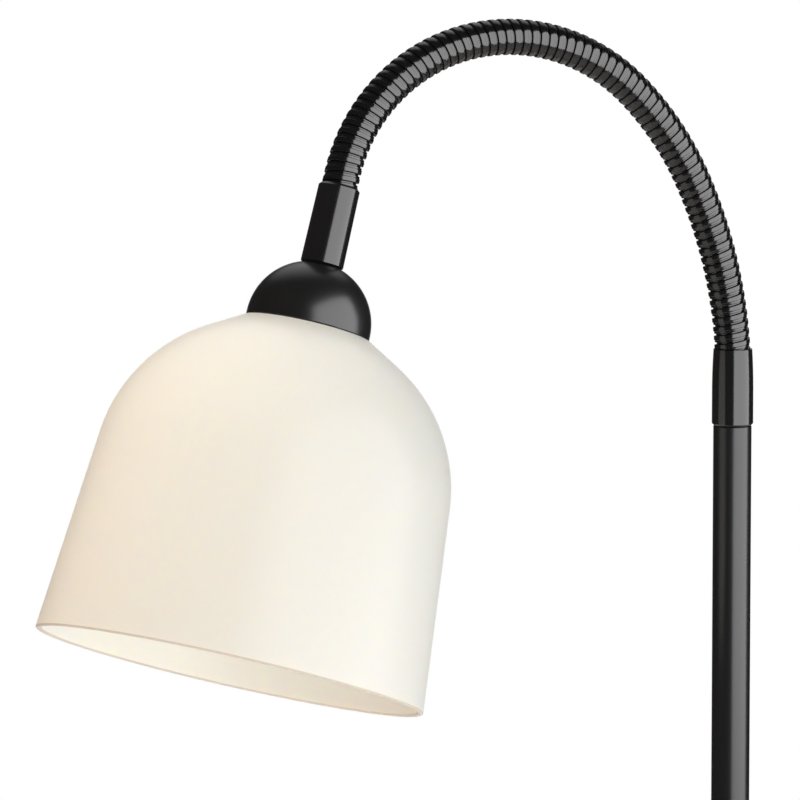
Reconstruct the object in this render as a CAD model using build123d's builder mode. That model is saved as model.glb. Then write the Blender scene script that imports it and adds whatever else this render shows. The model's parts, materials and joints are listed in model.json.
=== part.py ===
"""Floor lamp with a round weighted base, a two-piece pole, a flexible wound neck and a glass bell shade.

All sizes are in millimetres. The origin lies on the floor under the axis of the pole, +Z is up, and the neck
leans over towards -X. The head is modelled on its own axis, which starts where the neck ends and points to
the opening of the shade.
"""

import os
from math import acos, cos, degrees, radians, sqrt, tan

from build123d import *

os.makedirs("parts", exist_ok=True)

# Fits
slip_play = 0.1
thread_play = 0.05
seat_play = 0.05

# Base
base_diameter = 240.0
base_height = 20.0
base_edge_radius = 6.0
cover_wall = 1.2
cover_lift = 1.0
pad_thickness = 2.0
pad_margin = 2.0
weight_margin = 1.0
recess_diameter = 48.0
recess_depth = 9.5
washer_diameter = 32.0
washer_thickness = 2.0
base_nut_height = 6.0

# Cord inlet at the back of the base
inlet_height = 7.0
inlet_bore_diameter = 6.8
inlet_wall = 0.8
inlet_flange_diameter = 13.0
inlet_flange_thickness = 1.8
inlet_depth = 11.0
channel_width = 9.6

# Hollow threaded studs, their nuts and the bushes that take them
stud_diameter = 10.0
stud_bore_diameter = 7.0
stud_engagement = 14.0
nut_across_flats = 14.0
bush_length = 16.0

# Pole
pole_diameter = 16.0
pole_wall = 1.2
pole_joint_height = 620.0
pole_height = 1230.0
pole_chamfer = 0.4
foot_ring_diameter = 30.0
foot_ring_height = 10.0
foot_ring_lip = 1.6

# Collar at the foot of the neck
lower_collar_diameter = 17.3
lower_collar_mouth_diameter = 16.2
lower_collar_length = 32.05
lower_collar_straight = 14.0
lower_collar_chamfer = 0.9

# Flexible neck: short links, each with a band outside and a lap that sits in the socket of the link below
link_count = 25
link_length = 11.4607
link_diameter = 15.0
link_gap = 1.72
link_overhang = 0.3
link_edge = 0.15
collar_gap = 0.9
neck_bore_diameter = 9.6
lap_diameter = 11.6
lap_play = 0.3
lap_length = 1.0
socket_depth = 2.4

# Lean of the neck at its foot, and its bend at each joint, from the pole to the head
foot_lean_angle = 5.0
stem_joints = 6
shoulder_joints = 4
stem_bend_angle = 3.219
shoulder_bend_angle = 5.008
crown_bend_angle = 8.433
curl_joints = 12
head_curl_angle = 1.425

# Collar at the head
upper_collar_length = 34.4
upper_collar_lap = 1.5
upper_collar_mouth_diameter = 17.1
upper_collar_diameter = 17.7
upper_collar_chamfer = 1.2

# Domed cap over the lampholder
cap_diameter = 51.2
cap_skirt = 2.0
cap_wall = 1.2
cap_seat_diameter = 19.0
cap_rim_radius = 0.4
cap_washer_diameter = 18.0
cap_washer_thickness = 1.0
cap_nut_height = 3.0

# Glass shade
shade_height = 142.7
shade_opening_diameter = 160.3
shade_neck_diameter = 52.8
shade_hole_diameter = 41.0
shade_wall = 2.6
shade_top_angle = 30.4
shade_side_angle = 5.2
shade_shoulder_radius = 66.2
shade_rim_radius = 1.0
shade_gap = 0.3

# Lampholder
holder_diameter = 39.2
holder_wall = 2.1
holder_skirt_length = 32.0
holder_flange_diameter = 47.0
holder_flange_thickness = 2.3
holder_cover_diameter = 37.0
holder_cover_wall = 2.0
holder_entry_diameter = 14.0
holder_entry_height = 4.0
holder_shoulder_radius = 8.0
ring_diameter = 50.0
ring_height = 6.0
ring_grip_radius = 1.5
ring_grip_count = 24
insert_height = 8.0
insert_play = 0.3
shell_diameter = 28.2
shell_wall = 0.5
shell_length = 24.0
contact_diameter = 8.0
contact_height = 1.6
terminal_spacing = 19.0
terminal_diameter = 5.0
terminal_height = 2.4

# Bulb
bulb_cap_diameter = 26.4
bulb_cap_length = 23.0
bulb_tip_diameter = 9.6
bulb_tip_height = 1.2
bulb_housing_length = 30.0
bulb_housing_diameter = 46.0
bulb_globe_diameter = 60.0
bulb_globe_wall = 1.0


def save(piece, name):
    """Label a finished piece and write it under its name."""
    piece.part.label = name
    export_step(piece.part, f"parts/{name}.step")


# Base: floor pad, cast weight, spun cover and what clamps them to the pole
base_radius = base_diameter / 2
cover_inner_radius = base_radius - cover_wall
stud_radius = stud_diameter / 2
thread_radius = stud_radius + thread_play
recess_top = pad_thickness + recess_depth

with BuildPart() as base_pad:
    with BuildSketch():
        Circle(cover_inner_radius - pad_margin)
    extrude(amount=pad_thickness)
save(base_pad, "base_pad")

with BuildPart() as base_weight:
    with BuildSketch(Plane.XY.offset(pad_thickness)):
        Circle(cover_inner_radius - weight_margin)
    extrude(amount=base_height - cover_wall - pad_thickness)
    fillet(base_weight.edges().group_by(Axis.Z)[-1], base_edge_radius)
    with BuildSketch(Plane.XY.offset(pad_thickness)):
        Circle(recess_diameter / 2)
        Rectangle(base_radius, channel_width, align=(Align.MIN, Align.CENTER))
    extrude(amount=recess_depth, mode=Mode.SUBTRACT)
    with BuildSketch(Plane.XY.offset(pad_thickness)):
        Circle(stud_radius + slip_play)
    extrude(amount=base_height, mode=Mode.SUBTRACT)
save(base_weight, "base_weight")

inlet_hole_radius = inlet_bore_diameter / 2 + inlet_wall + slip_play
inlet_plane = Plane(origin=(base_radius, 0, inlet_height), x_dir=(0, 1, 0), z_dir=(1, 0, 0))

with BuildPart() as base_cover:
    with BuildSketch(Plane.XY.offset(cover_lift)):
        Circle(base_radius)
    extrude(amount=base_height - cover_lift)
    fillet(base_cover.edges().group_by(Axis.Z)[-1], base_edge_radius)
    offset(amount=-cover_wall, openings=base_cover.faces().sort_by(Axis.Z)[0])
    with BuildSketch(Plane.XY.offset(cover_lift)):
        Circle(stud_radius + slip_play)
    extrude(amount=base_height, mode=Mode.SUBTRACT)
    with BuildSketch(inlet_plane.offset(-inlet_depth)):
        Circle(inlet_hole_radius)
    extrude(amount=inlet_depth + cover_wall, mode=Mode.SUBTRACT)
save(base_cover, "base_cover")

with BuildPart() as cord_bushing:
    with BuildSketch(inlet_plane.offset(seat_play)):
        Circle(inlet_flange_diameter / 2)
    extrude(amount=inlet_flange_thickness)
    fillet(cord_bushing.edges().group_by(Axis.X)[-1], inlet_flange_thickness / 3)
    with BuildSketch(inlet_plane.offset(seat_play)):
        Circle(inlet_bore_diameter / 2 + inlet_wall)
    extrude(amount=-inlet_depth)
    with BuildSketch(inlet_plane.offset(-inlet_depth)):
        Circle(inlet_bore_diameter / 2)
    extrude(amount=inlet_depth + 2 * inlet_flange_thickness, mode=Mode.SUBTRACT)
save(cord_bushing, "cord_bushing")

with BuildPart() as base_washer:
    with BuildSketch(Plane.XY.offset(recess_top - washer_thickness)):
        Circle(washer_diameter / 2)
        Circle(stud_radius + slip_play, mode=Mode.SUBTRACT)
    extrude(amount=washer_thickness)
save(base_washer, "base_washer")

nut_radius = nut_across_flats / 2 / cos(radians(30))

with BuildPart() as base_nut:
    with BuildSketch(Plane.XY.offset(recess_top - washer_thickness - base_nut_height)):
        RegularPolygon(nut_radius, 6)
        Circle(thread_radius, mode=Mode.SUBTRACT)
    extrude(amount=base_nut_height)
save(base_nut, "base_nut")

# Pole: two tubes with bushes in their ends, screwed together on hollow studs
pole_radius = pole_diameter / 2
pole_bore_radius = pole_radius - pole_wall

for name, low, high in (
    ("lower_pole", base_height, pole_joint_height),
    ("upper_pole", pole_joint_height, pole_height),
):
    with BuildPart() as pole:
        with BuildSketch(Plane.XY.offset(low)):
            Circle(pole_radius)
        extrude(amount=high - low)
        chamfer(pole.edges(), pole_chamfer)
        with BuildSketch(Plane.XY.offset(low)):
            Circle(pole_bore_radius)
        extrude(amount=high - low, mode=Mode.SUBTRACT)
    save(pole, name)

for name, low in (
    ("pole_foot_bush", base_height),
    ("pole_joint_lower_bush", pole_joint_height - bush_length),
    ("pole_joint_upper_bush", pole_joint_height),
    ("pole_top_bush", pole_height - bush_length),
):
    with BuildPart() as bush:
        with BuildSketch(Plane.XY.offset(low)):
            Circle(pole_bore_radius - thread_play)
            Circle(thread_radius, mode=Mode.SUBTRACT)
        extrude(amount=bush_length)
    save(bush, name)

base_stud_foot = recess_top - washer_thickness - base_nut_height

for name, low, high in (
    ("base_stud", base_stud_foot, base_height + stud_engagement),
    ("pole_joint_stud", pole_joint_height - stud_engagement, pole_joint_height + stud_engagement),
    ("neck_stud", pole_height - stud_engagement, pole_height + stud_engagement),
):
    with BuildPart() as stud:
        with BuildSketch(Plane.XY.offset(low)):
            Circle(stud_radius)
            Circle(stud_bore_diameter / 2, mode=Mode.SUBTRACT)
        extrude(amount=high - low)
    save(stud, name)

foot_ring_radius = foot_ring_diameter / 2
foot_ring_top_radius = pole_radius + foot_ring_lip

with BuildPart() as pole_foot_ring:
    with BuildSketch(Plane.XZ):
        with BuildLine():
            foot_low = (foot_ring_radius, base_height + foot_ring_lip)
            foot_high = (foot_ring_top_radius, base_height + foot_ring_height)
            Polyline((pole_radius + slip_play, base_height), (foot_ring_radius, base_height), foot_low)
            RadiusArc(foot_low, foot_high, -foot_ring_height)
            Polyline(
                foot_high,
                (pole_radius + slip_play, base_height + foot_ring_height),
                (pole_radius + slip_play, base_height),
            )
        make_face()
    revolve(axis=Axis.Z)
save(pole_foot_ring, "pole_foot_ring")

# Flexible neck: the joints of the neck give each link its frame
link_radius = link_diameter / 2
lap_radius = lap_diameter / 2
socket_radius = lap_radius + lap_play
band_start = link_overhang + link_gap
band_end = link_overhang + link_length
lower_collar_top = pole_height + lower_collar_length
neck_foot = lower_collar_top + collar_gap - band_start

joint_count = link_count - 1
joint_bends = [stem_bend_angle] * stem_joints + [shoulder_bend_angle] * shoulder_joints
joint_bends = (joint_bends + [crown_bend_angle] * joint_count)[:joint_count]

frame = Location((0, 0, neck_foot), (0, -foot_lean_angle, 0))
link_frames = [frame]
for joint, bend in enumerate(joint_bends, start=1):
    curl = head_curl_angle if joint > joint_count - curl_joints else 0
    frame = frame * Location((0, 0, link_length))
    frame = frame * Location((0, 0, 0), (0, -bend, 0)) * Location((0, 0, 0), (curl, 0, 0))
    link_frames.append(frame)
head_plane = Plane(frame * Location((0, 0, link_length)))

for number, link_frame in enumerate(link_frames, start=1):
    link_plane = Plane(link_frame)
    with BuildPart() as neck_link:
        with BuildSketch(link_plane.offset(band_start)):
            Circle(link_radius)
        extrude(amount=band_end - band_start)
        chamfer(neck_link.edges(), link_edge)
        with BuildSketch(link_plane.offset(-lap_length)):
            Circle(lap_radius)
        extrude(amount=lap_length + band_end)
        with BuildSketch(link_plane.offset(-lap_length)):
            Circle(neck_bore_diameter / 2)
        extrude(amount=lap_length + band_end, mode=Mode.SUBTRACT)
        with BuildSketch(link_plane.offset(link_length - socket_depth)):
            Circle(socket_radius)
        extrude(amount=socket_depth + link_overhang, mode=Mode.SUBTRACT)
    save(neck_link, f"neck_link_{number:02d}")

with BuildPart() as lower_collar:
    with BuildSketch(Plane.XZ):
        with BuildLine():
            collar_low = (lower_collar_diameter / 2, pole_height + lower_collar_chamfer)
            collar_bend = (lower_collar_diameter / 2, pole_height + lower_collar_straight)
            collar_mouth = (lower_collar_mouth_diameter / 2, lower_collar_top)
            Polyline(
                (0, pole_height),
                (lower_collar_diameter / 2 - lower_collar_chamfer, pole_height),
                collar_low,
                collar_bend,
            )
            TangentArc(collar_bend, collar_mouth, tangent=(0, 1))
            Polyline(collar_mouth, (0, lower_collar_top), (0, pole_height))
        make_face()
    revolve(axis=Axis.Z)
    with BuildSketch(Plane.XY.offset(pole_height)):
        Circle(thread_radius)
    extrude(amount=lower_collar_length, mode=Mode.SUBTRACT)
    with BuildSketch(Plane.XY.offset(neck_foot - socket_depth)):
        Circle(socket_radius)
    extrude(amount=socket_depth + lower_collar_length, mode=Mode.SUBTRACT)
save(lower_collar, "lower_collar")

# Head: every piece is turned about the head's axis, with heights measured from the end of the neck
head_axis = Axis(head_plane.origin, head_plane.z_dir)
head_profile = Plane(origin=head_plane.origin, x_dir=head_plane.x_dir, z_dir=-head_plane.y_dir)
cap_radius = cap_diameter / 2
cap_seat_radius = cap_seat_diameter / 2
cap_top = upper_collar_length - upper_collar_lap
cap_height = cap_skirt + sqrt(cap_radius**2 - cap_seat_radius**2)
cap_rim = cap_top + cap_height

with BuildPart() as upper_collar:
    with BuildSketch(head_profile):
        with BuildLine():
            mouth_radius = upper_collar_mouth_diameter / 2
            end_radius = upper_collar_diameter / 2
            Polyline(
                (0, -upper_collar_lap),
                (mouth_radius - upper_collar_chamfer, -upper_collar_lap),
                (mouth_radius, upper_collar_chamfer - upper_collar_lap),
                (end_radius, cap_top - upper_collar_chamfer),
                (end_radius - upper_collar_chamfer, cap_top),
                (0, cap_top),
                close=True,
            )
        make_face()
    revolve(axis=head_axis)
    with BuildSketch(head_plane.offset(-upper_collar_lap)):
        Circle(link_radius + slip_play)
    extrude(amount=upper_collar_lap + link_overhang + seat_play, mode=Mode.SUBTRACT)
    with BuildSketch(head_plane):
        Circle(thread_radius)
    extrude(amount=upper_collar_length, mode=Mode.SUBTRACT)
save(upper_collar, "upper_collar")

cap_inner_top = cap_top + cap_wall
cap_inner_radius = cap_radius - cap_wall
cap_equator = cap_rim - cap_skirt
cap_seat_angle = degrees(acos(cap_seat_radius / cap_radius))
cap_inner_seat_radius = sqrt(cap_inner_radius**2 - (cap_equator - cap_inner_top) ** 2)
cap_inner_angle = degrees(acos(cap_inner_seat_radius / cap_inner_radius))

with BuildPart() as cap:
    with BuildSketch(head_profile):
        with BuildLine():
            dome = CenterArc((0, cap_equator), cap_radius, 0, -cap_seat_angle)
            Polyline(dome @ 1, (0, cap_top), (0, cap_rim), (cap_radius, cap_rim), dome @ 0)
        make_face()
    revolve(axis=head_axis)
    with BuildSketch(head_profile):
        with BuildLine():
            hollow = CenterArc((0, cap_equator), cap_inner_radius, 0, -cap_inner_angle)
            Polyline(
                hollow @ 1,
                (0, cap_inner_top),
                (0, cap_rim),
                (cap_inner_radius, cap_rim),
                hollow @ 0,
            )
        make_face()
    revolve(axis=head_axis, mode=Mode.SUBTRACT)
    with BuildSketch(head_plane.offset(cap_top)):
        Circle(stud_radius + slip_play)
    extrude(amount=cap_height, mode=Mode.SUBTRACT)
    rim_face = cap.faces().sort_by(head_axis)[-1]
    fillet(rim_face.edges(), cap_rim_radius)
save(cap, "cap")

with BuildPart() as cap_washer:
    with BuildSketch(head_plane.offset(cap_inner_top)):
        Circle(cap_washer_diameter / 2)
        Circle(stud_radius + slip_play, mode=Mode.SUBTRACT)
    extrude(amount=cap_washer_thickness)
save(cap_washer, "cap_washer")

cap_nut_top = cap_inner_top + cap_washer_thickness

with BuildPart() as cap_nut:
    with BuildSketch(head_plane.offset(cap_nut_top)):
        RegularPolygon(nut_radius, 6)
        Circle(thread_radius, mode=Mode.SUBTRACT)
    extrude(amount=cap_nut_height)
save(cap_nut, "cap_nut")

holder_top = cap_nut_top + cap_nut_height + seat_play
holder_entry_end = holder_top + holder_entry_height

with BuildPart() as head_stud:
    with BuildSketch(head_plane.offset(cap_top - stud_engagement)):
        Circle(stud_radius)
        Circle(stud_bore_diameter / 2, mode=Mode.SUBTRACT)
    extrude(amount=stud_engagement + holder_entry_end - cap_top)
save(head_stud, "head_stud")

# Glass shade, clamped between the lampholder's flange and its ring
shade_top = cap_rim + shade_gap
shade_end = shade_top + shade_height
shade_opening_radius = shade_opening_diameter / 2
slope_rise = tan(radians(shade_top_angle))
flare_rise = tan(radians(shade_side_angle))


def bell_corner(start_radius, start_height, end_radius):
    """Point where the sloping top of the bell would meet its flaring side."""
    drop = shade_end - start_height + start_radius * slope_rise
    radius = (end_radius - flare_rise * drop) / (1 - flare_rise * slope_rise)
    return radius, start_height + (radius - start_radius) * slope_rise


inner_neck_radius = shade_neck_diameter / 2 - shade_wall * tan(radians(shade_top_angle) / 2)
inner_opening_radius = shade_opening_radius - shade_wall / cos(radians(shade_side_angle))

with BuildPart() as glass_shade:
    with BuildSketch(head_profile):
        with BuildLine():
            neck_edge = (shade_neck_diameter / 2, shade_top)
            opening_edge = (shade_opening_radius, shade_end)
            corner = bell_corner(*neck_edge, shade_opening_radius)
            FilletPolyline(neck_edge, corner, opening_edge, radius=shade_shoulder_radius)
            Polyline(opening_edge, (0, shade_end), (0, shade_top), neck_edge)
        make_face()
    revolve(axis=head_axis)
    with BuildSketch(head_profile):
        with BuildLine():
            neck_edge = (inner_neck_radius, shade_top + shade_wall)
            opening_edge = (inner_opening_radius, shade_end)
            corner = bell_corner(*neck_edge, inner_opening_radius)
            FilletPolyline(neck_edge, corner, opening_edge, radius=shade_shoulder_radius - shade_wall)
            Polyline(opening_edge, (0, shade_end), (0, shade_top + shade_wall), neck_edge)
        make_face()
    revolve(axis=head_axis, mode=Mode.SUBTRACT)
    with BuildSketch(head_plane.offset(shade_top)):
        Circle(shade_hole_diameter / 2)
    extrude(amount=shade_wall, mode=Mode.SUBTRACT)
    rim_face = glass_shade.faces().sort_by(head_axis)[-1]
    fillet(rim_face.edges(), shade_rim_radius)
save(glass_shade, "glass_shade")

# Lampholder: cover, skirt, clamping ring and the live parts inside
holder_radius = holder_diameter / 2
holder_bore_radius = holder_radius - holder_wall
flange_top = shade_top - holder_flange_thickness
holder_cover_radius = holder_cover_diameter / 2
entry_radius = holder_entry_diameter / 2

with BuildPart() as holder_cover:
    with BuildSketch(head_profile):
        with BuildLine():
            FilletPolyline(
                (entry_radius, holder_entry_end),
                (holder_cover_radius, holder_entry_end),
                (holder_cover_radius, flange_top),
                radius=holder_shoulder_radius,
            )
            Polyline(
                (holder_cover_radius, flange_top),
                (0, flange_top),
                (0, holder_top),
                (entry_radius, holder_top),
                (entry_radius, holder_entry_end),
            )
        make_face()
    revolve(axis=head_axis)
    with BuildSketch(head_profile):
        with BuildLine():
            FilletPolyline(
                (0, holder_entry_end + holder_cover_wall),
                (holder_cover_radius - holder_cover_wall, holder_entry_end + holder_cover_wall),
                (holder_cover_radius - holder_cover_wall, flange_top),
                radius=holder_shoulder_radius - holder_cover_wall,
            )
            Polyline(
                (holder_cover_radius - holder_cover_wall, flange_top),
                (0, flange_top),
                (0, holder_entry_end + holder_cover_wall),
            )
        make_face()
    revolve(axis=head_axis, mode=Mode.SUBTRACT)
    with BuildSketch(head_plane.offset(holder_top)):
        Circle(thread_radius)
    extrude(amount=cap_height, mode=Mode.SUBTRACT)
save(holder_cover, "holder_cover")

holder_end = shade_top + holder_skirt_length
insert_top = flange_top
insert_end = insert_top + insert_height

with BuildPart() as holder_skirt:
    with BuildSketch(head_plane.offset(flange_top)):
        Circle(holder_flange_diameter / 2)
    extrude(amount=holder_flange_thickness)
    with BuildSketch(head_plane.offset(flange_top)):
        Circle(holder_radius)
    extrude(amount=holder_end - flange_top)
    with BuildSketch(head_plane.offset(flange_top)):
        Circle(holder_bore_radius)
    extrude(amount=holder_end - flange_top, mode=Mode.SUBTRACT)
    mouth_face = holder_skirt.faces().sort_by(head_axis)[-1]
    fillet(mouth_face.edges(), holder_wall / 3)
save(holder_skirt, "holder_skirt")

ring_top = shade_top + shade_wall

with BuildPart() as shade_ring:
    with BuildSketch(head_plane.offset(ring_top)):
        Circle(ring_diameter / 2)
        with PolarLocations(ring_diameter / 2 + ring_grip_radius / 2, ring_grip_count):
            Circle(ring_grip_radius, mode=Mode.SUBTRACT)
        Circle(holder_radius + thread_play, mode=Mode.SUBTRACT)
    extrude(amount=ring_height)
save(shade_ring, "shade_ring")

with BuildPart() as holder_insert:
    with BuildSketch(head_plane.offset(insert_top)):
        Circle(holder_bore_radius - insert_play)
    extrude(amount=insert_height)
    with BuildSketch(head_plane.offset(insert_top)):
        with Locations((terminal_spacing / 2, 0), (-terminal_spacing / 2, 0)):
            Circle(terminal_diameter / 2 + slip_play)
    extrude(amount=terminal_height, mode=Mode.SUBTRACT)
save(holder_insert, "holder_insert")

with BuildPart() as terminal_screws:
    with BuildSketch(head_plane.offset(insert_top)):
        with Locations((terminal_spacing / 2, 0), (-terminal_spacing / 2, 0)):
            Circle(terminal_diameter / 2)
    extrude(amount=terminal_height)
save(terminal_screws, "terminal_screws")

shell_radius = shell_diameter / 2

with BuildPart() as screw_shell:
    with BuildSketch(head_plane.offset(insert_end)):
        Circle(shell_radius)
        Circle(shell_radius - shell_wall, mode=Mode.SUBTRACT)
    extrude(amount=shell_length)
save(screw_shell, "screw_shell")

with BuildPart() as centre_contact:
    with BuildSketch(head_plane.offset(insert_end)):
        Circle(contact_diameter / 2)
    extrude(amount=contact_height)
    fillet(centre_contact.edges().group_by(head_axis)[-1], contact_height / 2)
save(centre_contact, "centre_contact")

# Bulb, screwed up until its tip meets the contact
bulb_tip = insert_end + contact_height + seat_play
bulb_cap_top = bulb_tip + bulb_tip_height
bulb_cap_end = bulb_cap_top + bulb_cap_length
bulb_housing_end = bulb_cap_end + bulb_housing_length
bulb_cap_radius = bulb_cap_diameter / 2
globe_radius = bulb_globe_diameter / 2
housing_radius = bulb_housing_diameter / 2
globe_rise = sqrt(globe_radius**2 - housing_radius**2)

with BuildPart() as bulb_contact:
    with BuildSketch(head_plane.offset(bulb_tip)):
        Circle(bulb_tip_diameter / 2)
    extrude(amount=bulb_tip_height)
    fillet(bulb_contact.edges().group_by(head_axis)[0], bulb_tip_height / 2)
save(bulb_contact, "bulb_contact")

with BuildPart() as bulb_cap:
    with BuildSketch(head_profile):
        with BuildLine():
            Polyline(
                (0, bulb_cap_top),
                (bulb_tip_diameter / 2, bulb_cap_top),
                (bulb_cap_radius, bulb_cap_top + bulb_tip_diameter / 2),
                (bulb_cap_radius, bulb_cap_end),
                (0, bulb_cap_end),
                close=True,
            )
        make_face()
    revolve(axis=head_axis)
save(bulb_cap, "bulb_cap")

with BuildPart() as bulb_housing:
    with BuildSketch(head_profile):
        with BuildLine():
            housing_top = (bulb_cap_radius, bulb_cap_end)
            housing_rim = (housing_radius, bulb_housing_end)
            TangentArc(housing_top, housing_rim, tangent=(0, 1))
            Polyline(housing_rim, (0, bulb_housing_end), (0, bulb_cap_end), housing_top)
        make_face()
    revolve(axis=head_axis)
save(bulb_housing, "bulb_housing")

globe_centre = bulb_housing_end + globe_rise
globe_start_angle = degrees(acos(housing_radius / globe_radius))

with BuildPart() as bulb_globe:
    with BuildSketch(head_profile):
        with BuildLine():
            ball = CenterArc((0, globe_centre), globe_radius, -globe_start_angle, 90 + globe_start_angle)
            Polyline(ball @ 1, (0, bulb_housing_end), ball @ 0)
        make_face()
    revolve(axis=head_axis)
    with BuildSketch(head_profile):
        with BuildLine():
            core = CenterArc((0, globe_centre), globe_radius - bulb_globe_wall, -90, 180)
            Line(core @ 1, core @ 0)
        make_face()
    revolve(axis=head_axis, mode=Mode.SUBTRACT)
save(bulb_globe, "bulb_globe")

print("end of neck", head_plane.origin, "head axis", head_plane.z_dir)
print("cap rim at", cap_rim, "and shade opening at", shade_end, "along the head's axis")
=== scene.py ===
"""Looks of a floor lamp with a strip-wound flexible neck and a bell shade of opal glass.

Sizes are in millimetres and are brought to metres when a mesh is placed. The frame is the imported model's
own: the floor is z = 0, the pole stands on +Z and the neck leans over towards -X. Turned and wound pieces
are drawn as half profiles, radius against height, and spun about the axis of the pole, of the head or of a
link of the neck.
"""

from __future__ import annotations

import json
import logging
import math
from dataclasses import dataclass, field, replace
from enum import Enum
from typing import Any

import bmesh
import bpy
from mathutils import Matrix, Vector

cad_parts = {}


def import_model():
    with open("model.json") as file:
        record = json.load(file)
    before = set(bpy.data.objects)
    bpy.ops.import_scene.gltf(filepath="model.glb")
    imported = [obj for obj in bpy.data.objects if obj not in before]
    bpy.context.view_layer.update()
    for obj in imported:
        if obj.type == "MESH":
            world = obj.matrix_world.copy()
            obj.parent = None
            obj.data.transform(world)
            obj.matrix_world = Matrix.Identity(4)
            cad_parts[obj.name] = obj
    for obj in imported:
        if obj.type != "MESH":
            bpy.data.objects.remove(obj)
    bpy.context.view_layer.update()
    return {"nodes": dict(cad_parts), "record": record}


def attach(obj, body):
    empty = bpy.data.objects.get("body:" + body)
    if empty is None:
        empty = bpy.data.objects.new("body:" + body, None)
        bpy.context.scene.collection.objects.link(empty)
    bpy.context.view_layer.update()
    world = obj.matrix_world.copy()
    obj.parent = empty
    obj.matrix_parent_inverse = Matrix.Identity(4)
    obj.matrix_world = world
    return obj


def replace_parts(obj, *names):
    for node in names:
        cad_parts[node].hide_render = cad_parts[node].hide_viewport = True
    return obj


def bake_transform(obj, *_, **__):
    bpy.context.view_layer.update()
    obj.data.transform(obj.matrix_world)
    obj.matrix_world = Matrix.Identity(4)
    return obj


LOG = logging.getLogger("floor_lamp")
MM = 0.001
ORIGIN = (0.0, 0.0, 0.0)
UP = (0.0, 0.0, 1.0)
MERGE_DISTANCE = 1e-4
STRIP_UV = "strip"
RIM_MASK = "rim"
WHITE = (1.0, 1.0, 1.0, 1.0)
BLACK = (0.0, 0.0, 0.0, 1.0)

Color = tuple[float, float, float]
Point = tuple[float, float, float]


class Half(Enum):
    """Half of a span of the neck's winding, on one side of its joint."""

    LOWER = "lower"
    UPPER = "upper"


class Relief(Enum):
    """Fine relief of a surface, as the size and the depth of its grain in millimetres."""

    GLOSS_PAINT = (2.4, 0.010)
    SATIN_PAINT = (1.1, 0.005)
    BLOWN_GLASS = (26.0, 0.060)
    PLATED = (0.5, 0.004)
    CAST = (1.6, 0.140)
    FOAM = (0.9, 0.120)
    MOULDED = (0.6, 0.008)

    @property
    def size(self) -> float:
        """Size of one grain in millimetres."""
        return self.value[0]

    @property
    def depth(self) -> float:
        """Height of the relief in millimetres."""
        return self.value[1]


class Tree:
    """Short way to add and join the nodes of one shader tree."""

    MIX_FIRST = 6
    MIX_SECOND = 7
    MIX_RESULT = 2

    def __init__(self, tree: bpy.types.NodeTree) -> None:
        """Keep the tree that the nodes go into."""
        self.tree = tree

    def add(self, kind: str, inputs: dict[Any, Any] | None = None, **settings: Any) -> bpy.types.Node:
        """Add one node.

        Args:
            kind: Blender's name of the node type.
            inputs: values by the name or number of the input; a socket is linked, anything else is set.
            settings: properties of the node itself.

        Returns:
            The new node.
        """
        node = self.tree.nodes.new(kind)
        for name, value in settings.items():
            setattr(node, name, value)
        for name, value in (inputs or {}).items():
            if isinstance(value, bpy.types.NodeSocket):
                self.tree.links.new(value, node.inputs[name])
            else:
                node.inputs[name].default_value = value
        return node

    def math(self, operation: str, *values: Any) -> bpy.types.NodeSocket:
        """Add a Math node for up to three values and return its output."""
        return self.add("ShaderNodeMath", dict(enumerate(values)), operation=operation).outputs[0]

    def mix(self, share: bpy.types.NodeSocket, first: Any, second: Any) -> bpy.types.NodeSocket:
        """Add a Mix node that goes from one colour to another, and return its output."""
        inputs = {"Factor": share, self.MIX_FIRST: first, self.MIX_SECOND: second}
        return self.add("ShaderNodeMix", inputs, data_type="RGBA").outputs[self.MIX_RESULT]

    def dot(self, first: Any, second: Any) -> bpy.types.NodeSocket:
        """Add a node for the dot product of two directions and return its output."""
        inputs = {0: first, 1: second}
        return self.add("ShaderNodeVectorMath", inputs, operation="DOT_PRODUCT").outputs["Value"]

    def link(self, source: bpy.types.NodeSocket, target: bpy.types.NodeSocket) -> None:
        """Link an output to an input."""
        self.tree.links.new(source, target)


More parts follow.
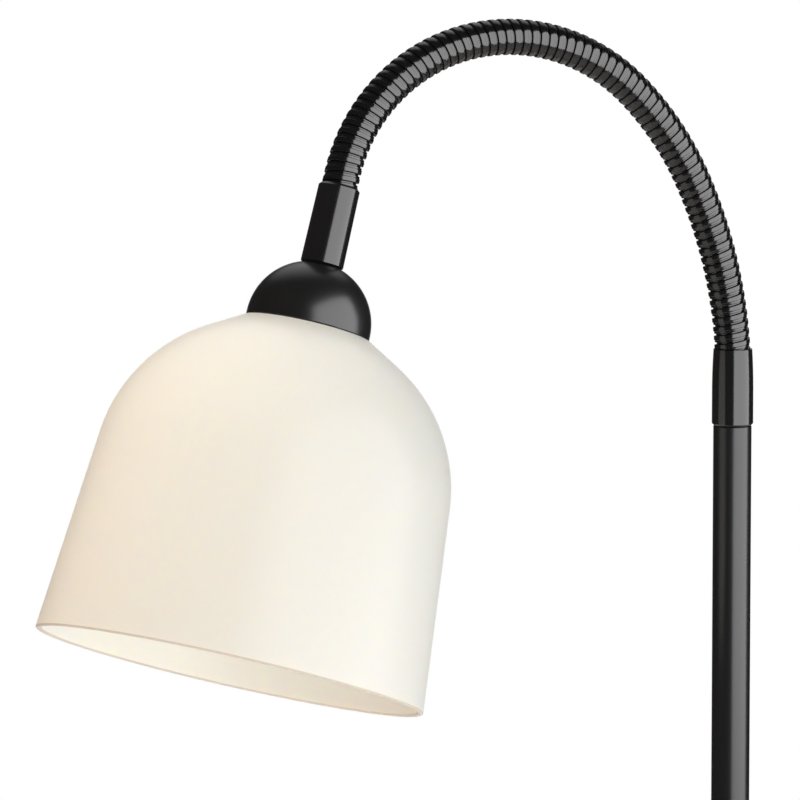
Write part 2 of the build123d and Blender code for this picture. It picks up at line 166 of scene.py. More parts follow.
class GroupMaker:
    """Makes the shader node groups that the finishes share, each of them once."""

    NOISE_MEAN = 0.5
    FINE_DETAIL = 3.0
    FINE_ROUGHNESS = 0.55
    BROAD_DETAIL = 4.0
    BROAD_SCALE = 0.04
    LINE_DETAIL = 2.0
    LINE_ROUGHNESS = 0.6

    def __init__(self) -> None:
        """Start with no group made."""
        self.made: dict[str, bpy.types.NodeTree] = {}

    def _new(self, name: str, inputs: dict[str, str], outputs: dict[str, str]) -> tuple[Tree, Any, Any]:
        """Start a group with named sockets.

        Args:
            name: name of the group.
            inputs: socket type of each input, by name.
            outputs: socket type of each output, by name.

        Returns:
            The group's tree, its input node and its output node.
        """
        group = bpy.data.node_groups.new(name, "ShaderNodeTree")
        for direction, sockets in (("INPUT", inputs), ("OUTPUT", outputs)):
            for label, kind in sockets.items():
                group.interface.new_socket(label, in_out=direction, socket_type="NodeSocket" + kind)
        self.made[name] = group
        tree = Tree(group)
        return tree, tree.add("NodeGroupInput"), tree.add("NodeGroupOutput")

    def grain(self) -> bpy.types.NodeTree:
        """Make the group for an uneven colour, an uneven roughness and a fine height over Object coordinates.

        Returns:
            The group, made at the first call.
        """
        if "surface_grain" in self.made:
            return self.made["surface_grain"]
        tree, given, result = self._new(
            "surface_grain",
            {"Color": "Color", "Tone": "Float", "Roughness": "Float", "Spread": "Float", "Scale": "Float"},
            {"Color": "Color", "Roughness": "Float", "Height": "Float"},
        )
        place = tree.add("ShaderNodeTexCoord").outputs["Object"]
        fine_scale = given.outputs["Scale"]
        fine = tree.add(
            "ShaderNodeTexNoise",
            {
                "Vector": place,
                "Scale": fine_scale,
                "Detail": self.FINE_DETAIL,
                "Roughness": self.FINE_ROUGHNESS,
            },
        )
        broad_scale = tree.math("MULTIPLY", fine_scale, self.BROAD_SCALE)
        broad = tree.add(
            "ShaderNodeTexNoise", {"Vector": place, "Scale": broad_scale, "Detail": self.BROAD_DETAIL}
        )
        swing = tree.math("SUBTRACT", broad.outputs["Fac"], self.NOISE_MEAN)
        rough = tree.math("MULTIPLY_ADD", swing, given.outputs["Spread"], given.outputs["Roughness"])
        both = tree.math("ADD", broad.outputs["Fac"], fine.outputs["Fac"])
        mean = tree.math("DIVIDE", both, 2.0)
        share = tree.math("MULTIPLY", mean, given.outputs["Tone"])
        tree.link(tree.mix(share, given.outputs["Color"], BLACK), result.inputs["Color"])
        tree.link(rough, result.inputs["Roughness"])
        tree.link(fine.outputs["Fac"], result.inputs["Height"])
        return self.made["surface_grain"]

    def drawn_lines(self) -> bpy.types.NodeTree:
        """Make the group for fine lines that run along a wound strip, from the strip's own UV map.

        Returns:
            The group, made at the first call.
        """
        if "drawn_lines" in self.made:
            return self.made["drawn_lines"]
        tree, given, result = self._new(
            "drawn_lines", {"Along": "Float", "Across": "Float"}, {"Lines": "Float"}
        )
        place = tree.add("ShaderNodeUVMap", uv_map=STRIP_UV).outputs["UV"]
        scale = tree.add("ShaderNodeCombineXYZ", {"X": given.outputs["Along"], "Y": given.outputs["Across"]})
        stretched = tree.add("ShaderNodeVectorMath", {0: place, 1: scale.outputs[0]}, operation="MULTIPLY")
        lines = tree.add(
            "ShaderNodeTexNoise",
            {
                "Vector": stretched.outputs[0],
                "Scale": 1.0,
                "Detail": self.LINE_DETAIL,
                "Roughness": self.LINE_ROUGHNESS,
            },
        )
        tree.link(lines.outputs["Fac"], result.inputs["Lines"])
        return self.made["drawn_lines"]


@dataclass(frozen=True)
class Finish:
    """One finish of the lamp, made as a procedural material."""

    slot: str
    color: Color
    roughness: float
    relief: Relief
    metallic: float = 0.0
    index: float = 1.5
    specular: float = 0.5
    tone: float = 0.15
    spread: float = 0.10

    def material(self, groups: GroupMaker) -> bpy.types.Material:
        """Make the material.

        Args:
            groups: maker of the shared shader groups.

        Returns:
            The new material, named after the record's slot.
        """
        material = bpy.data.materials.new(self.slot)
        material.use_nodes = True
        tree = Tree(material.node_tree)
        shader = material.node_tree.nodes["Principled BSDF"]
        shader.inputs["Metallic"].default_value = self.metallic
        shader.inputs["IOR"].default_value = self.index
        shader.inputs["Specular IOR Level"].default_value = self.specular
        grain = tree.add(
            "ShaderNodeGroup",
            {
                "Color": (*self.color, 1.0),
                "Tone": self.tone,
                "Roughness": self.roughness,
                "Spread": self.spread,
                "Scale": 1.0 / (self.relief.size * MM),
            },
            node_tree=groups.grain(),
        )
        self.join(tree, shader, grain, groups)
        return material

    def join(self, tree: Tree, shader: Any, grain: Any, groups: GroupMaker) -> None:
        """Join the grain to the shader.

        Args:
            tree: the material's tree.
            shader: its Principled BSDF node.
            grain: its grain group node.
            groups: maker of the shared shader groups; not used here.
        """
        height = grain.outputs["Height"]
        bump = tree.add("ShaderNodeBump", {"Distance": self.relief.depth * MM, "Height": height})
        tree.link(grain.outputs["Color"], shader.inputs["Base Color"])
        tree.link(grain.outputs["Roughness"], shader.inputs["Roughness"])
        tree.link(bump.outputs["Normal"], shader.inputs["Normal"])


@dataclass(frozen=True)
class StripFinish(Finish):
    """Gloss paint over a wound steel strip whose drawn lines still show."""

    line_length: float = 9.0
    line_width: float = 0.16
    line_depth: float = 0.006
    line_rough: float = 0.16

    def join(self, tree: Tree, shader: Any, grain: Any, groups: GroupMaker) -> None:
        """Join the grain and the drawn lines to the shader.

        Args:
            tree: the material's tree.
            shader: its Principled BSDF node.
            grain: its grain group node.
            groups: maker of the shared shader groups.
        """
        super().join(tree, shader, grain, groups)
        drawn = tree.add(
            "ShaderNodeGroup",
            {"Along": 1.0 / self.line_length, "Across": 1.0 / self.line_width},
            node_tree=groups.drawn_lines(),
        ).outputs["Lines"]
        swing = tree.math("SUBTRACT", drawn, groups.NOISE_MEAN)
        rough = tree.math("MULTIPLY_ADD", swing, self.line_rough, grain.outputs["Roughness"])
        bump = tree.add("ShaderNodeBump", {"Distance": self.line_depth * MM, "Height": drawn})
        tree.link(rough, shader.inputs["Roughness"])
        tree.link(bump.outputs["Normal"], shader.inputs["Normal"])


@dataclass(frozen=True)
class OpalFinish(Finish):
    """Opal glass: light scatters inside its wall, and its rim is coloured darker than the rest of the
    surface.
    """

    depth: float = 1.2
    scatter: float = 0.9
    scatter_color: Color = (1.0, 0.86, 0.62)
    rim_color: Color = (0.60, 0.54, 0.48)

    def join(self, tree: Tree, shader: Any, grain: Any, groups: GroupMaker) -> None:
        """Join the grain to the shader and let light into the wall.

        Args:
            tree: the material's tree.
            shader: its Principled BSDF node.
            grain: its grain group node.
            groups: maker of the shared shader groups.
        """
        super().join(tree, shader, grain, groups)
        # Darker base colour on the rim, wherever the rim mask is 1.
        rim = tree.add("ShaderNodeAttribute", attribute_name=RIM_MASK).outputs["Fac"]
        tint = tree.mix(rim, grain.outputs["Color"], (*self.rim_color, 1.0))
        tree.link(tint, shader.inputs["Base Color"])
        shader.inputs["Subsurface Weight"].default_value = self.scatter
        shader.inputs["Subsurface Radius"].default_value = self.scatter_color
        shader.inputs["Subsurface Scale"].default_value = self.depth * MM


FINISHES = (
    Finish("black_paint", (0.010, 0.010, 0.011), 0.28, Relief.SATIN_PAINT, spread=0.04),
    Finish("black_collar", (0.010, 0.010, 0.011), 0.15, Relief.GLOSS_PAINT, specular=0.55),
    StripFinish("neck_strip", (0.006, 0.006, 0.007), 0.16, Relief.GLOSS_PAINT, specular=0.65),
    OpalFinish(
        "opal_glass", (0.97, 0.94, 0.865), 0.34, Relief.BLOWN_GLASS, specular=0.22, tone=0.03, spread=0.03
    ),
    Finish("floor_pad", (0.025, 0.025, 0.026), 0.85, Relief.FOAM, tone=0.5),
    Finish("cast_weight", (0.10, 0.10, 0.10), 0.60, Relief.CAST, metallic=0.7, tone=0.4),
    Finish("zinc_steel", (0.60, 0.61, 0.62), 0.32, Relief.PLATED, metallic=1.0),
    Finish("black_moulding", (0.014, 0.014, 0.015), 0.42, Relief.MOULDED),
    Finish("white_insert", (0.74, 0.72, 0.67), 0.45, Relief.MOULDED, tone=0.06),
    Finish("brass_contact", (0.78, 0.56, 0.25), 0.28, Relief.PLATED, metallic=1.0),
    Finish("bulb_metal", (0.72, 0.72, 0.73), 0.25, Relief.PLATED, metallic=1.0),
    Finish("bulb_white", (0.84, 0.84, 0.82), 0.30, Relief.MOULDED, tone=0.04),
    OpalFinish("bulb_glass", (0.92, 0.91, 0.88), 0.35, Relief.MOULDED, tone=0.03),
)


class Pen:
    """Draws a half profile with bmesh operators: x is the radius and z the height, in millimetres."""

    ROUND_STEPS = 3

    def __init__(self, radius: float, height: float) -> None:
        """Set the pen down at the first point.

        Args:
            radius: radius of that point.
            height: height of that point.
        """
        self.bm = bmesh.new()
        self.tip = self.bm.verts.new((radius, 0.0, height))
        self.corners: list[tuple[bmesh.types.BMVert, float]] = []

    def line(self, radius: float, height: float, rounding: float = 0.0) -> Pen:
        """Draw a straight line.

        Args:
            radius: radius where the line ends.
            height: height where the line ends.
            rounding: how far back from that corner its rounding starts.

        Returns:
            The pen, to go on drawing.
        """
        self.tip = bmesh.ops.extrude_vert_indiv(self.bm, verts=[self.tip])["verts"][0]
        self.tip.co = (radius, 0.0, height)
        if rounding:
            self.corners.append((self.tip, rounding))
        return self

    def arc(self, centre: Vector, angle: float, steps: int) -> Pen:
        """Draw part of a circle.

        Args:
            centre: radius and height of its centre.
            angle: degrees that it turns from the way outwards to the way up.
            steps: number of straight pieces in it.

        Returns:
            The pen, to go on drawing.
        """
        spun = bmesh.ops.spin(
            self.bm,
            geom=[self.tip],
            cent=(centre.x, 0.0, centre.y),
            axis=(0.0, -1.0, 0.0),
            angle=math.radians(angle),
            steps=steps,
        )
        self.tip = spun["geom_last"][0]
        return self

    def round_corners(self) -> None:
        """Round the corners that were drawn with a rounding."""
        for corner, size in self.corners:
            bmesh.ops.bevel(
                self.bm,
                geom=[corner],
                offset=size,
                offset_type="OFFSET",
                affect="VERTICES",
                segments=self.ROUND_STEPS,
                profile=0.5,
                material=-1,
            )

    def turn(self, steps: int) -> bmesh.types.BMesh:
        """Spin the profile a full turn about +Z.

        Args:
            steps: number of facets round the axis.

        Returns:
            The turned mesh, with its seam closed and its faces pointing outwards.
        """
        self.round_corners()
        bmesh.ops.spin(
            self.bm,
            geom=self.bm.verts[:] + self.bm.edges[:],
            cent=ORIGIN,
            axis=UP,
            angle=math.tau,
            steps=steps,
            use_merge=True,
        )
        bmesh.ops.remove_doubles(self.bm, verts=self.bm.verts[:], dist=MERGE_DISTANCE)
        bmesh.ops.recalc_face_normals(self.bm, faces=self.bm.faces[:])
        return self.bm

    def wind(
        self, winding: Winding, start: float, end: float, square: tuple[bool, bool] = (True, True)
    ) -> bmesh.types.BMesh:
        """Wind a profile of one pitch up +Z as an unbroken strip, and close it as a tube.

        Args:
            winding: pitch, facets and bore of the tube.
            start: height of the tube's lower end.
            end: height of its upper end.
            square: whether the lower and the upper end are cut square, or else follow the strip's edge.

        Returns:
            The tube, hollowed to its bore.
        """
        self.round_corners()
        low, high = start / winding.pitch, end / winding.pitch
        # A square end is cut from a spare turn; an end along the strip's edge stops at a whole turn.
        first = math.floor(low) - 1 if square[0] else round(low - 0.5)
        turns = (math.ceil(high) + 1 if square[1] else round(high - 0.5)) - first
        bmesh.ops.translate(self.bm, verts=self.bm.verts[:], vec=(0.0, 0.0, first * winding.pitch))
        bmesh.ops.spin(
            self.bm,
            geom=self.bm.verts[:] + self.bm.edges[:],
            cent=ORIGIN,
            axis=UP,
            dvec=(0.0, 0.0, winding.pitch / winding.steps),
            angle=math.tau * turns,
            steps=winding.steps * turns,
        )
        bmesh.ops.remove_doubles(self.bm, verts=self.bm.verts[:], dist=MERGE_DISTANCE)
        winding.mark_strip(self.bm)
        for height, side, cut in ((start, -1.0, square[0]), (end, 1.0, square[1])):
            if not cut:
                continue
            bmesh.ops.bisect_plane(
                self.bm,
                geom=self.bm.verts[:] + self.bm.edges[:] + self.bm.faces[:],
                plane_co=(0.0, 0.0, height),
                plane_no=(0.0, 0.0, side),
                clear_outer=True,
                dist=MERGE_DISTANCE,
            )
        winding.hollow(self.bm)
        bmesh.ops.recalc_face_normals(self.bm, faces=self.bm.faces[:])
        return self.bm


@dataclass(frozen=True)
class Winding:
    """How a strip or a thread winds, right-handed: its pitch, the bore inside it and its facets in a turn."""

    pitch: float
    bore: float
    steps: int = 48

    def mark_strip(self, bm: bmesh.types.BMesh) -> None:
        """Give a wound strip a UV map in millimetres: along the strip, then across it.

        Args:
            bm: the wound strip, before its ends are cut.
        """
        layer = bm.loops.layers.uv.new(STRIP_UV)
        for face in bm.faces:
            middle = face.calc_center_median()
            angle = math.atan2(middle.y, middle.x)
            for loop in face.loops:
                point = loop.vert.co
                turn = math.remainder(math.atan2(point.y, point.x) - angle, math.tau) + angle
                across = point.z - self.pitch * turn / math.tau
                along = turn + math.tau * round(middle.z / self.pitch)
                loop[layer].uv = (along * point.xy.length, across)

    def hollow(self, bm: bmesh.types.BMesh) -> None:
        """Close the open ends of a wound tube with flat rings and join them by the bore.

        Args:
            bm: the wound tube, with its ends cut.
        """
        inner: list[bmesh.types.BMEdge] = []
        ends = [edge for edge in bm.edges if edge.is_boundary]
        drawn = bmesh.ops.extrude_edge_only(bm, edges=ends)["geom"]
        for part in drawn:
            if isinstance(part, bmesh.types.BMVert):
                part.co.xy = part.co.xy.normalized() * self.bore / 2
            elif isinstance(part, bmesh.types.BMEdge):
                inner.append(part)
        bmesh.ops.bridge_loops(bm, edges=[edge for edge in inner if edge.is_boundary])


@dataclass
class Workshop:
    """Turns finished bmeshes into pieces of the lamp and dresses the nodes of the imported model."""

    nodes: dict[str, bpy.types.Object]
    materials: dict[str, bpy.types.Material]
    slots: dict[str, str]
    sharp_angle: float = 32.0

    def piece(self, name: str, bm: bmesh.types.BMesh, place: Matrix, slot: str) -> bpy.types.Object:
        """Make one piece from a bmesh.

        Args:
            name: name of the piece.
            bm: its shape in millimetres; it is freed.
            place: where the piece goes, in metres.
            slot: the record's material slot of its finish.

        Returns:
            The new object, which sits at the origin with its place in its mesh.
        """
        bmesh.ops.transform(bm, matrix=place @ Matrix.Scale(MM, 4), verts=bm.verts[:])
        mesh = bpy.data.meshes.new(name)
        bm.to_mesh(mesh)
        bm.free()
        mesh.shade_smooth()
        mesh.set_sharp_from_angle(angle=math.radians(self.sharp_angle))
        mesh.materials.append(self.materials[slot])
        made = bpy.data.objects.new(name, mesh)
        bpy.context.scene.collection.objects.link(made)
        LOG.info("%s: %d faces, %s", name, len(mesh.polygons), slot)
        return made

    def dress(self) -> None:
        """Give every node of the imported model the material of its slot."""
        for name, node in self.nodes.items():
            for holder in node.material_slots:
                holder.material = self.materials[self.slots[name]]
            LOG.info("%s: %s", name, self.slots[name])


GROOVE_RADIUS = 6.45
# Profile of the wound strip over one pitch: radius, height and rounding of each corner.
STRIP_CORNERS = {
    "groove_end": (GROOVE_RADIUS, 0.52, 0.08),
    "shoulder_start": (7.16, 0.68, 0.10),
    "shoulder_end": (7.20, 1.60, 0.04),
    "band_start": (7.44, 1.72, 0.07),
    "band_crown": (7.50, 2.30, 0.30),
    "band_end": (7.47, 3.52, 0.14),
}


@dataclass
class Neck:
    """Strip-wound flexible neck: its winding bends over most joints and slides at the others."""

    workshop: Workshop
    foot: float = 1260.93
    links: int = 25
    link_turns: int = 3
    foot_lean: float = 5.0
    zones: tuple[tuple[int, float], ...] = ((6, 3.219), (4, 5.008), (14, 8.433))
    curl_joints: int = 12
    head_curl: float = 1.425
    sliding_joints: tuple[int, ...] = (3, 5, 7, 9, 11, 12)
    collar_cover: float = 0.70
    head_reach: float = 0.3
    winding: Winding = Winding(pitch=3.820233, bore=9.6)
    frames: list[Matrix] = field(default_factory=list)
    head: Matrix = field(default_factory=Matrix)

    def __post_init__(self) -> None:
        """Work out the frame of every link and of the head, in metres."""
        step = Matrix.Translation((0.0, 0.0, self.link_length * MM))
        bends = [bend for count, bend in self.zones for _ in range(count)]
        lean = Matrix.Rotation(math.radians(-self.foot_lean), 4, "Y")
        self.frames.append(Matrix.Translation((0.0, 0.0, self.foot * MM)) @ lean)
        for joint, bend in enumerate(bends, start=1):
            curl = self.head_curl if joint > len(bends) - self.curl_joints else 0.0
            bow = Matrix.Rotation(math.radians(-bend), 4, "Y")
            turn = bow @ Matrix.Rotation(math.radians(curl), 4, "X")
            self.frames.append(self.frames[-1] @ step @ turn)
        self.head = self.frames[-1] @ step

    @property
    def link_length(self) -> float:
        """Length of one link, which holds a whole number of turns."""
        return self.link_turns * self.winding.pitch

    def strip(self, start: float, end: float, square: tuple[bool, bool] = (True, True)) -> bmesh.types.BMesh:
        """Straight length of the winding: groove, low shoulder, raised band.

        Args:
            start: height of its lower end.
            end: height of its upper end.
            square: whether each end is cut square, or follows the groove.

        Returns:
            The wound tube.
        """
        pen = Pen(GROOVE_RADIUS, 0.0)
        for radius, height, rounding in STRIP_CORNERS.values():
            pen.line(radius, height, rounding)
        pen.line(GROOVE_RADIUS, self.winding.pitch)
        return pen.wind(self.winding, start, end, square)

    def middle(self, link: int) -> Matrix:
        """Frame at the middle of a link, counted from the pole."""
        return self.frames[link - 1] @ Matrix.Translation((0.0, 0.0, self.link_length / 2 * MM))

    def bent(self, span: bmesh.types.BMesh, low: Matrix, knee: Vector, high: Matrix) -> bmesh.types.BMesh:
        """Copy of a straight span, bent smoothly about a joint of the neck.

        Args:
            span: up to one link's length of the winding, straight up +Z.
            low: frame that height 0 of the span goes to, in metres.
            knee: point of the joint.
            high: frame that the span's full height goes to.

        Returns:
            The bent span, in millimetres, at its place on the lamp.
        """
        bm = span.copy()
        turns = low.to_quaternion(), high.to_quaternion()
        for vert in bm.verts:
            share = min(max(vert.co.z / self.link_length, 0.0), 1.0)
            first = low.translation.lerp(knee, share)
            centre = first.lerp(knee.lerp(high.translation, share), share)
            flat = Vector((vert.co.x, vert.co.y, 0.0))
            vert.co = centre / MM + turns[0].slerp(turns[1], share) @ flat
        return bm

    def laid(self, span: bmesh.types.BMesh, link: int, half: Half | None = None) -> bpy.types.Object:
        """Piece of the winding over the joint above a link.

        Args:
            span: straight winding from the link's middle to the middle of the next one, or a half of it.
            link: the link below the joint.
            half: which half it is, if it is one.

        Returns:
            The piece, bent to its place on the lamp.
        """
        bent = self.bent(span, self.middle(link), self.frames[link].translation, self.middle(link + 1))
        name = f"neck_strip_{link:02d}" + (f"_{half.value}" if half else "")
        return self.workshop.piece(name, bent, Matrix(), "neck_strip")

    def body(self, link: int) -> str:
        """Name of the body that a link moves with.

        Args:
            link: number of the link, counted from the pole.

        Returns:
            The stand for the first link, the head for the last one and the link's own body between them.
        """
        if link == 1:
            return "stand"
        if link == self.links:
            return "head"
        return f"neck_part_{link:02d}"

    def build(self) -> None:
        """Make the winding's spans and lay each over its joint, bending or in two sliding halves."""
        half = self.link_length / 2
        root = Matrix.Translation((0.0, 0.0, (self.foot - half) * MM))
        foot = self.strip(half + self.collar_cover, self.link_length)
        bent = self.bent(foot, root, self.frames[0].translation, self.middle(1))
        foot.free()
        piece = self.workshop.piece("neck_strip_00", bent, Matrix(), "neck_strip")
        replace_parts(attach(piece, self.body(1)), "neck_link_01")
        whole = self.strip(0.0, self.link_length)
        lower = self.strip(0.0, half, (True, False))
        upper = self.strip(half, self.link_length, (False, True))
        for link in range(1, self.links):
            if link in self.sliding_joints:
                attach(self.laid(lower, link, Half.LOWER), self.body(link))
                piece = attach(self.laid(upper, link, Half.UPPER), self.body(link + 1))
            else:
                low, high = self.middle(link).translation, self.middle(link + 1).translation
                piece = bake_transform(
                    self.laid(whole, link), self.body(link), self.body(link + 1), start=low, end=high
                )
            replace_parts(piece, f"neck_link_{link + 1:02d}")
        for span in (whole, lower, upper):
            span.free()
        end = self.strip(0.0, half + self.head_reach)
        name = f"neck_strip_{self.links:02d}"
        piece = self.workshop.piece(name, end, self.middle(self.links), "neck_strip")
        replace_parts(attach(piece, self.body(self.links)), f"neck_link_{self.links:02d}")


@dataclass
class Shade:
    """Bell shade of blown opal glass, smooth all round, drawn in the head's frame."""

    workshop: Workshop
    head: Matrix
    top: float = 58.972
    end: float = 201.672
    hole_radius: float = 20.5
    neck_radius: float = 26.4
    opening_radius: float = 80.15
    wall: float = 2.6
    top_angle: float = 30.4
    side_angle: float = 5.2
    shoulder_radius: float = 66.2
    shoulder_steps: int = 28
    rim_rounding: float = 1.0
    rim_share: float = 0.7
    facets: int = 176

    def bell(self) -> bmesh.types.BMesh:
        """Turn the wall of the shade, with its shoulder drawn as an arc inside and out.

        Returns:
            The closed wall, in millimetres, with its top at the head's end of the axis.
        """
        slope, lean = math.radians(self.top_angle), math.radians(self.side_angle)
        under = Vector((-math.sin(slope), math.cos(slope)))
        within = Vector((-math.cos(lean), math.sin(lean)))
        low = Vector((self.neck_radius, self.top)) + under * self.shoulder_radius
        high = Vector((self.opening_radius, self.end)) + within * self.shoulder_radius
        along = Vector((math.cos(slope), math.sin(slope)))
        down = Vector((math.sin(lean), math.cos(lean)))
        centre = low + along * ((high - low).cross(down) / along.cross(down))
        bow = 90.0 - self.side_angle - self.top_angle
        pen = Pen(self.hole_radius, self.top)
        pen.line(self.neck_radius, self.top)
        pen.line(*(centre - under * self.shoulder_radius))
        pen.arc(centre, bow, self.shoulder_steps)
        pen.line(self.opening_radius, self.end, self.rim_rounding)
        pen.line(self.opening_radius - self.wall / math.cos(lean), self.end, self.rim_rounding)
        pen.line(*(centre - within * (self.shoulder_radius - self.wall)))
        pen.arc(centre, -bow, self.shoulder_steps)
        pen.line(self.neck_radius - self.wall * math.tan(slope / 2), self.top + self.wall)
        pen.line(self.hole_radius, self.top + self.wall)
        pen.line(self.hole_radius, self.top)
        return pen.turn(self.facets)

    def mark_rim(self, bm: bmesh.types.BMesh) -> None:
        """Mark the rounded rim of the opening, which the glass's material colours darker.

        Args:
            bm: the turned wall, which gets a mask that is 1 on the rim and 0 elsewhere.
        """
        mask = bm.verts.layers.float.new(RIM_MASK)
        for vert in bm.verts:
            vert[mask] = float(vert.co.z > self.end - self.rim_share * self.rim_rounding)

    def build(self) -> None:
        """Make the shade and hang it in the head."""
        bm = self.bell()
        self.mark_rim(bm)
        piece = self.workshop.piece("bell_shade", bm, self.head, "opal_glass")
        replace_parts(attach(piece, "head"), "glass_shade")


@dataclass(frozen=True)
class Thread:
    """Hollow length of screw thread in place of one node; flats and crest are shares of the pitch."""

    node: str
    start: float
    end: float
    crest: float = 5.0
    root: float = 4.4
    flat: float = 0.12
    crest_start: float = 0.5
    winding: Winding = Winding(pitch=1.0, bore=7.0, steps=32)
    body: str = "stand"
    slot: str = "zinc_steel"

    def build(self, workshop: Workshop, place: Matrix) -> None:
        """Wind the thread and put it in place of its node.

        Args:
            workshop: maker of the piece.
            place: frame whose +Z the thread winds up, in metres.
        """
        pitch = self.winding.pitch
        pen = Pen(self.root, 0.0)
        pen.line(self.root, self.flat * pitch)
        pen.line(self.crest, self.crest_start * pitch)
        pen.line(self.crest, (self.crest_start + self.flat) * pitch)
        pen.line(self.root, pitch)
        bm = pen.wind(self.winding, self.start, self.end)
        piece = workshop.piece(f"{self.node}_thread", bm, place, self.slot)
        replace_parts(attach(piece, self.body), self.node)


STUDS = (
    Thread("base_stud", 3.5, 34.0),
    Thread("pole_joint_stud", 606.0, 634.0),
    Thread("neck_stud", 1216.0, 1244.0),
)


@dataclass
class Lampholder:
    """Threaded pieces of the head: the stud that hangs it and the holder's barrel with its flange."""

    workshop: Workshop
    head: Matrix
    flange_top: float = 56.672
    flange_end: float = 58.972
    flange_radius: float = 23.5
    flange_rounding: float = 0.4
    flange_facets: int = 96
    bore_radius: float = 17.5
    stud: Thread = Thread("head_stud", 18.9, 42.15, body="head")
    barrel: Thread = Thread(
        "holder_skirt",
        58.972,
        90.972,
        crest=19.6,
        root=18.9,
        flat=0.16,
        winding=Winding(pitch=2.5, bore=35.0, steps=72),
        body="head",
        slot="black_moulding",
    )

    def build(self) -> None:
        """Make the stud, the barrel and the flange."""
        self.stud.build(self.workshop, self.head)
        self.barrel.build(self.workshop, self.head)
        pen = Pen(self.bore_radius, self.flange_top)
        pen.line(self.flange_radius, self.flange_top, self.flange_rounding)
        pen.line(self.flange_radius, self.flange_end, self.flange_rounding)
        pen.line(self.bore_radius, self.flange_end)
        pen.line(self.bore_radius, self.flange_top)
        flange = pen.turn(self.flange_facets)
        piece = self.workshop.piece("holder_flange", flange, self.head, self.barrel.slot)
        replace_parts(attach(piece, self.barrel.body), self.barrel.node)


@dataclass(frozen=True)
class Softbox:
    """One soft light, placed by its turn from the camera and facing a point; sizes are in metres."""

    name: str
    turn: float
    distance: float
    height: float
    size: tuple[float, float]
    level: float
    aim: Point
    color: Color = (1.0, 1.0, 1.0)
    matt: bool = True
    gloss: bool = True

    def build(self, azimuth: float) -> None:
        """Add the light to the scene.

        Args:
            azimuth: the camera's azimuth in degrees, from which the turn to the right is counted.
        """
        lamp = bpy.data.lights.new(self.name, "AREA")
        lamp.shape = "RECTANGLE"
        lamp.size, lamp.size_y = self.size
        lamp.energy = self.level * math.pi * self.size[0] * self.size[1]
        lamp.color = self.color
        made = bpy.data.objects.new(self.name, lamp)
        bpy.context.scene.collection.objects.link(made)
        side = math.radians(self.turn + azimuth)
        made.location = (math.sin(side) * self.distance, -math.cos(side) * self.distance, self.height)
        made.rotation_mode = "QUATERNION"
        made.rotation_quaternion = (made.location - Vector(self.aim)).to_track_quat("Z", "Y")
        made.visible_camera = False
        made.visible_diffuse = self.matt
        made.visible_glossy = self.gloss


SOFTBOXES = (
    Softbox("key_softbox", 52.0, 1.09, 1.23, (2.34, 2.40), 0.28, (0.0, 0.0, 1.23), gloss=False),
    Softbox("key_reflection", 52.0, 1.06, 1.58, (2.34, 1.70), 4.5, (0.0, 0.0, 1.58), matt=False),
    Softbox(
        "upper_fill", -60.0, 0.62, 1.72, (0.4, 0.4), 2.5, (-0.2, 0.0, 1.35), (1.0, 0.96, 0.85), gloss=False
    ),
    Softbox("back_fill", 165.0, 1.30, 1.30, (1.2, 1.6), 0.7, (-0.15, 0.0, 1.25), gloss=False),
    Softbox("mouth_bounce", -25.0, 0.35, 0.54, (0.4, 0.4), 5.0, (-0.22, -0.05, 1.15), gloss=False),
)


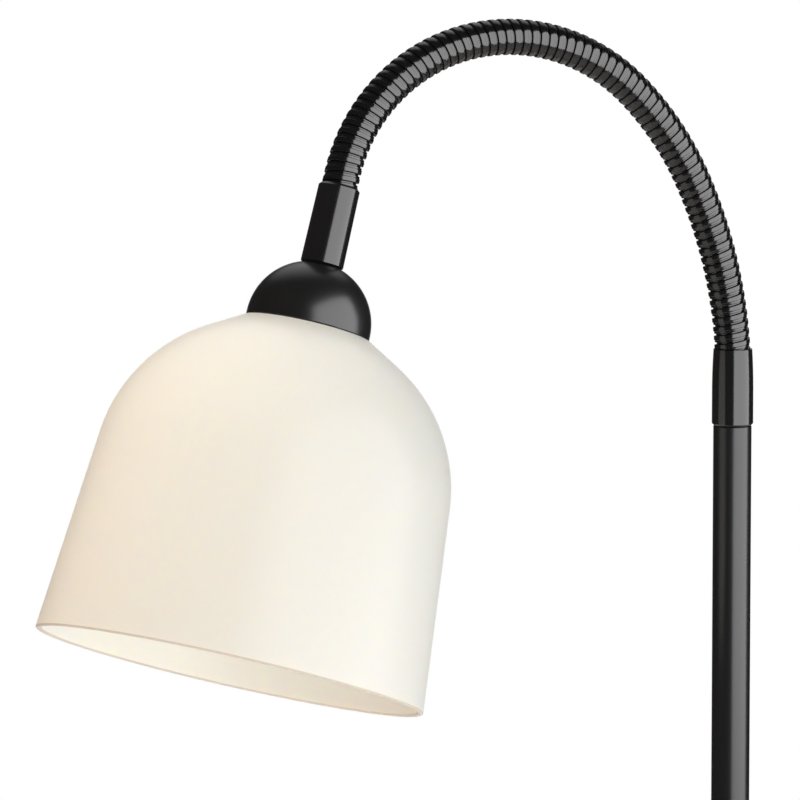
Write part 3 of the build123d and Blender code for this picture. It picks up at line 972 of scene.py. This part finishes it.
@dataclass
class Studio:
    """Pale floor, white surroundings and soft lights; a patch's edge is the cosine of its half angle."""

    view: Viewpoint
    floor_size: float = 2.0
    floor_facets: int = 96
    floor_color: Color = (0.86, 0.86, 0.85)
    floor_roughness: float = 0.9
    fade_start: float = 0.3
    fade_end: float = 1.0
    ambient: float = 0.71
    dark: float = 0.03
    backdrop_edge: float = 0.95
    overhead: float = 48.0
    overhead_edge: float = 0.82
    warm_side: Color = (1.0, 0.76, 0.58)
    warm_start: float = -1.0
    warm_end: float = 0.2

    def build(self) -> None:
        """Make the world, the floor and the lights."""
        self.world()
        self.floor()
        for softbox in SOFTBOXES:
            softbox.build(self.view.azimuth)

    def world(self) -> None:
        """White behind the lamp, an even fill for matt surfaces and a dark room in front for reflections."""
        world = bpy.data.worlds.new("studio")
        bpy.context.scene.world = world
        world.use_nodes = True
        world.node_tree.nodes.clear()
        tree = Tree(world.node_tree)
        path = tree.add("ShaderNodeLightPath")
        aim = tree.add("ShaderNodeTexCoord").outputs["Generated"]
        glossy = path.outputs["Is Glossy Ray"]
        backdrop = self.patch(tree, aim, self.view.elevation, self.backdrop_edge)
        ceiling = self.patch(tree, aim, -self.overhead, self.overhead_edge)
        mirrored = tree.math("MULTIPLY", glossy, tree.math("MAXIMUM", backdrop, ceiling))
        seen = tree.math("MAXIMUM", path.outputs["Is Camera Ray"], path.outputs["Is Transmission Ray"])
        white = tree.add("ShaderNodeBackground", {"Color": WHITE, "Strength": 1.0})
        side = {
            "Value": tree.dot(aim, self.view.right()),
            "From Min": self.warm_start,
            "From Max": self.warm_end,
        }
        share = tree.add("ShaderNodeMapRange", side).outputs[0]
        warmth = tree.mix(share, (*self.warm_side, 1.0), WHITE)
        even = tree.add("ShaderNodeBackground", {"Color": warmth, "Strength": self.ambient})
        room = tree.add("ShaderNodeBackground", {"Color": WHITE, "Strength": self.dark})
        matt = tree.add("ShaderNodeMixShader", {0: glossy, 1: even.outputs[0], 2: room.outputs[0]})
        shown = tree.math("MAXIMUM", seen, mirrored)
        mixed = tree.add("ShaderNodeMixShader", {0: shown, 1: matt.outputs[0], 2: white.outputs[0]})
        tree.add("ShaderNodeOutputWorld", {"Surface": mixed.outputs[0]})

    def patch(self, tree: Tree, aim: bpy.types.NodeSocket, fall: float, edge: float) -> bpy.types.NodeSocket:
        """Soft round patch of white paper behind or above the lamp.

        Args:
            tree: the world's tree.
            aim: direction of the ray.
            fall: degrees by which the patch's middle lies below the horizon.
            edge: cosine of the angle from its middle to its edge.

        Returns:
            Mask that is 1 in the middle of the patch and 0 outside.
        """
        facing = tree.dot(aim, replace(self.view, elevation=fall).forward())
        return tree.add("ShaderNodeMapRange", {"Value": facing, "From Min": edge, "From Max": 1.0}).outputs[0]

    def floor(self) -> None:
        """Pale floor that keeps the lamp's shadow and fades to white away from it."""
        bm = bmesh.new()
        bmesh.ops.create_circle(bm, cap_ends=True, segments=self.floor_facets, radius=self.floor_size)
        mesh = bpy.data.meshes.new("floor")
        bm.to_mesh(mesh)
        bm.free()
        floor = bpy.data.objects.new("floor", mesh)
        bpy.context.scene.collection.objects.link(floor)
        material = bpy.data.materials.new("floor")
        material.use_nodes = True
        tree = Tree(material.node_tree)
        shader = material.node_tree.nodes["Principled BSDF"]
        shader.inputs["Base Color"].default_value = (*self.floor_color, 1.0)
        shader.inputs["Roughness"].default_value = self.floor_roughness
        place = tree.add("ShaderNodeTexCoord").outputs["Object"]
        far = tree.add("ShaderNodeVectorMath", {0: place}, operation="LENGTH").outputs["Value"]
        fade = tree.add(
            "ShaderNodeMapRange",
            {"Value": far, "From Min": self.fade_start, "From Max": self.fade_end},
            interpolation_type="SMOOTHSTEP",
        ).outputs[0]
        path = tree.add("ShaderNodeLightPath")
        seen = tree.math("MAXIMUM", path.outputs["Is Camera Ray"], path.outputs["Is Transmission Ray"])
        glow = tree.add("ShaderNodeEmission", {"Strength": 1.0})
        share = tree.math("MULTIPLY", fade, seen)
        mixed = tree.add("ShaderNodeMixShader", {0: share, 1: shader.outputs[0], 2: glow.outputs[0]})
        output = material.node_tree.nodes["Material Output"]
        tree.link(mixed.outputs[0], output.inputs["Surface"])
        mesh.materials.append(material)


@dataclass(frozen=True)
class Viewpoint:
    """The photograph's camera, set by the top of the pole and its place in the frame of 800 pixels."""

    azimuth: float = -14.2616
    elevation: float = 7.0335
    focal_pixels: float = 6732.0
    frame_pixels: float = 800.0
    sensor: float = 36.0
    anchor: Point = (0.0, 0.0, 1.230)
    anchor_pixel: tuple[float, float] = (732.4, 425.0)
    anchor_distance: float = 2.80866

    def right(self) -> Vector:
        """Direction to the right of the picture."""
        turn = math.radians(self.azimuth)
        return Vector((math.cos(turn), math.sin(turn), 0.0))

    def forward(self) -> Vector:
        """Direction in which the camera looks."""
        turn, tilt = math.radians(self.azimuth), math.radians(self.elevation)
        return Vector((-math.sin(turn) * math.cos(tilt), math.cos(turn) * math.cos(tilt), -math.sin(tilt)))

    def build(self) -> None:
        """Make the camera and give it to the scene."""
        lens = bpy.data.cameras.new("camera")
        lens.sensor_width = self.sensor
        lens.lens = self.focal_pixels / self.frame_pixels * self.sensor
        camera = bpy.data.objects.new("camera", lens)
        bpy.context.scene.collection.objects.link(camera)
        forward = self.forward()
        right = self.right()
        up = right.cross(forward)
        scale = self.anchor_distance / self.focal_pixels
        across = (self.anchor_pixel[0] - self.frame_pixels / 2) * scale
        above = (self.frame_pixels / 2 - self.anchor_pixel[1]) * scale
        camera.location = Vector(self.anchor) - self.anchor_distance * forward - across * right - above * up
        camera.rotation_mode = "QUATERNION"
        camera.rotation_quaternion = forward.to_track_quat("-Z", "Y")
        bpy.context.scene.camera = camera


def main() -> None:
    """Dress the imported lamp, add its wound, turned and threaded pieces, and light it."""
    logging.basicConfig(level=logging.INFO, format="%(name)s: %(message)s")
    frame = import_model()
    groups = GroupMaker()
    materials = {finish.slot: finish.material(groups) for finish in FINISHES}
    slots = {part["node"]: part["material_slot"] for part in frame["record"]["subparts"]}
    workshop = Workshop(frame["nodes"], materials, slots)
    workshop.dress()
    neck = Neck(workshop)
    neck.build()
    Shade(workshop, neck.head).build()
    Lampholder(workshop, neck.head).build()
    for stud in STUDS:
        stud.build(workshop, Matrix())
    view = Viewpoint()
    view.build()
    Studio(view).build()
    bpy.context.scene.view_settings.view_transform = "Standard"


if __name__ == "__main__":
    main()
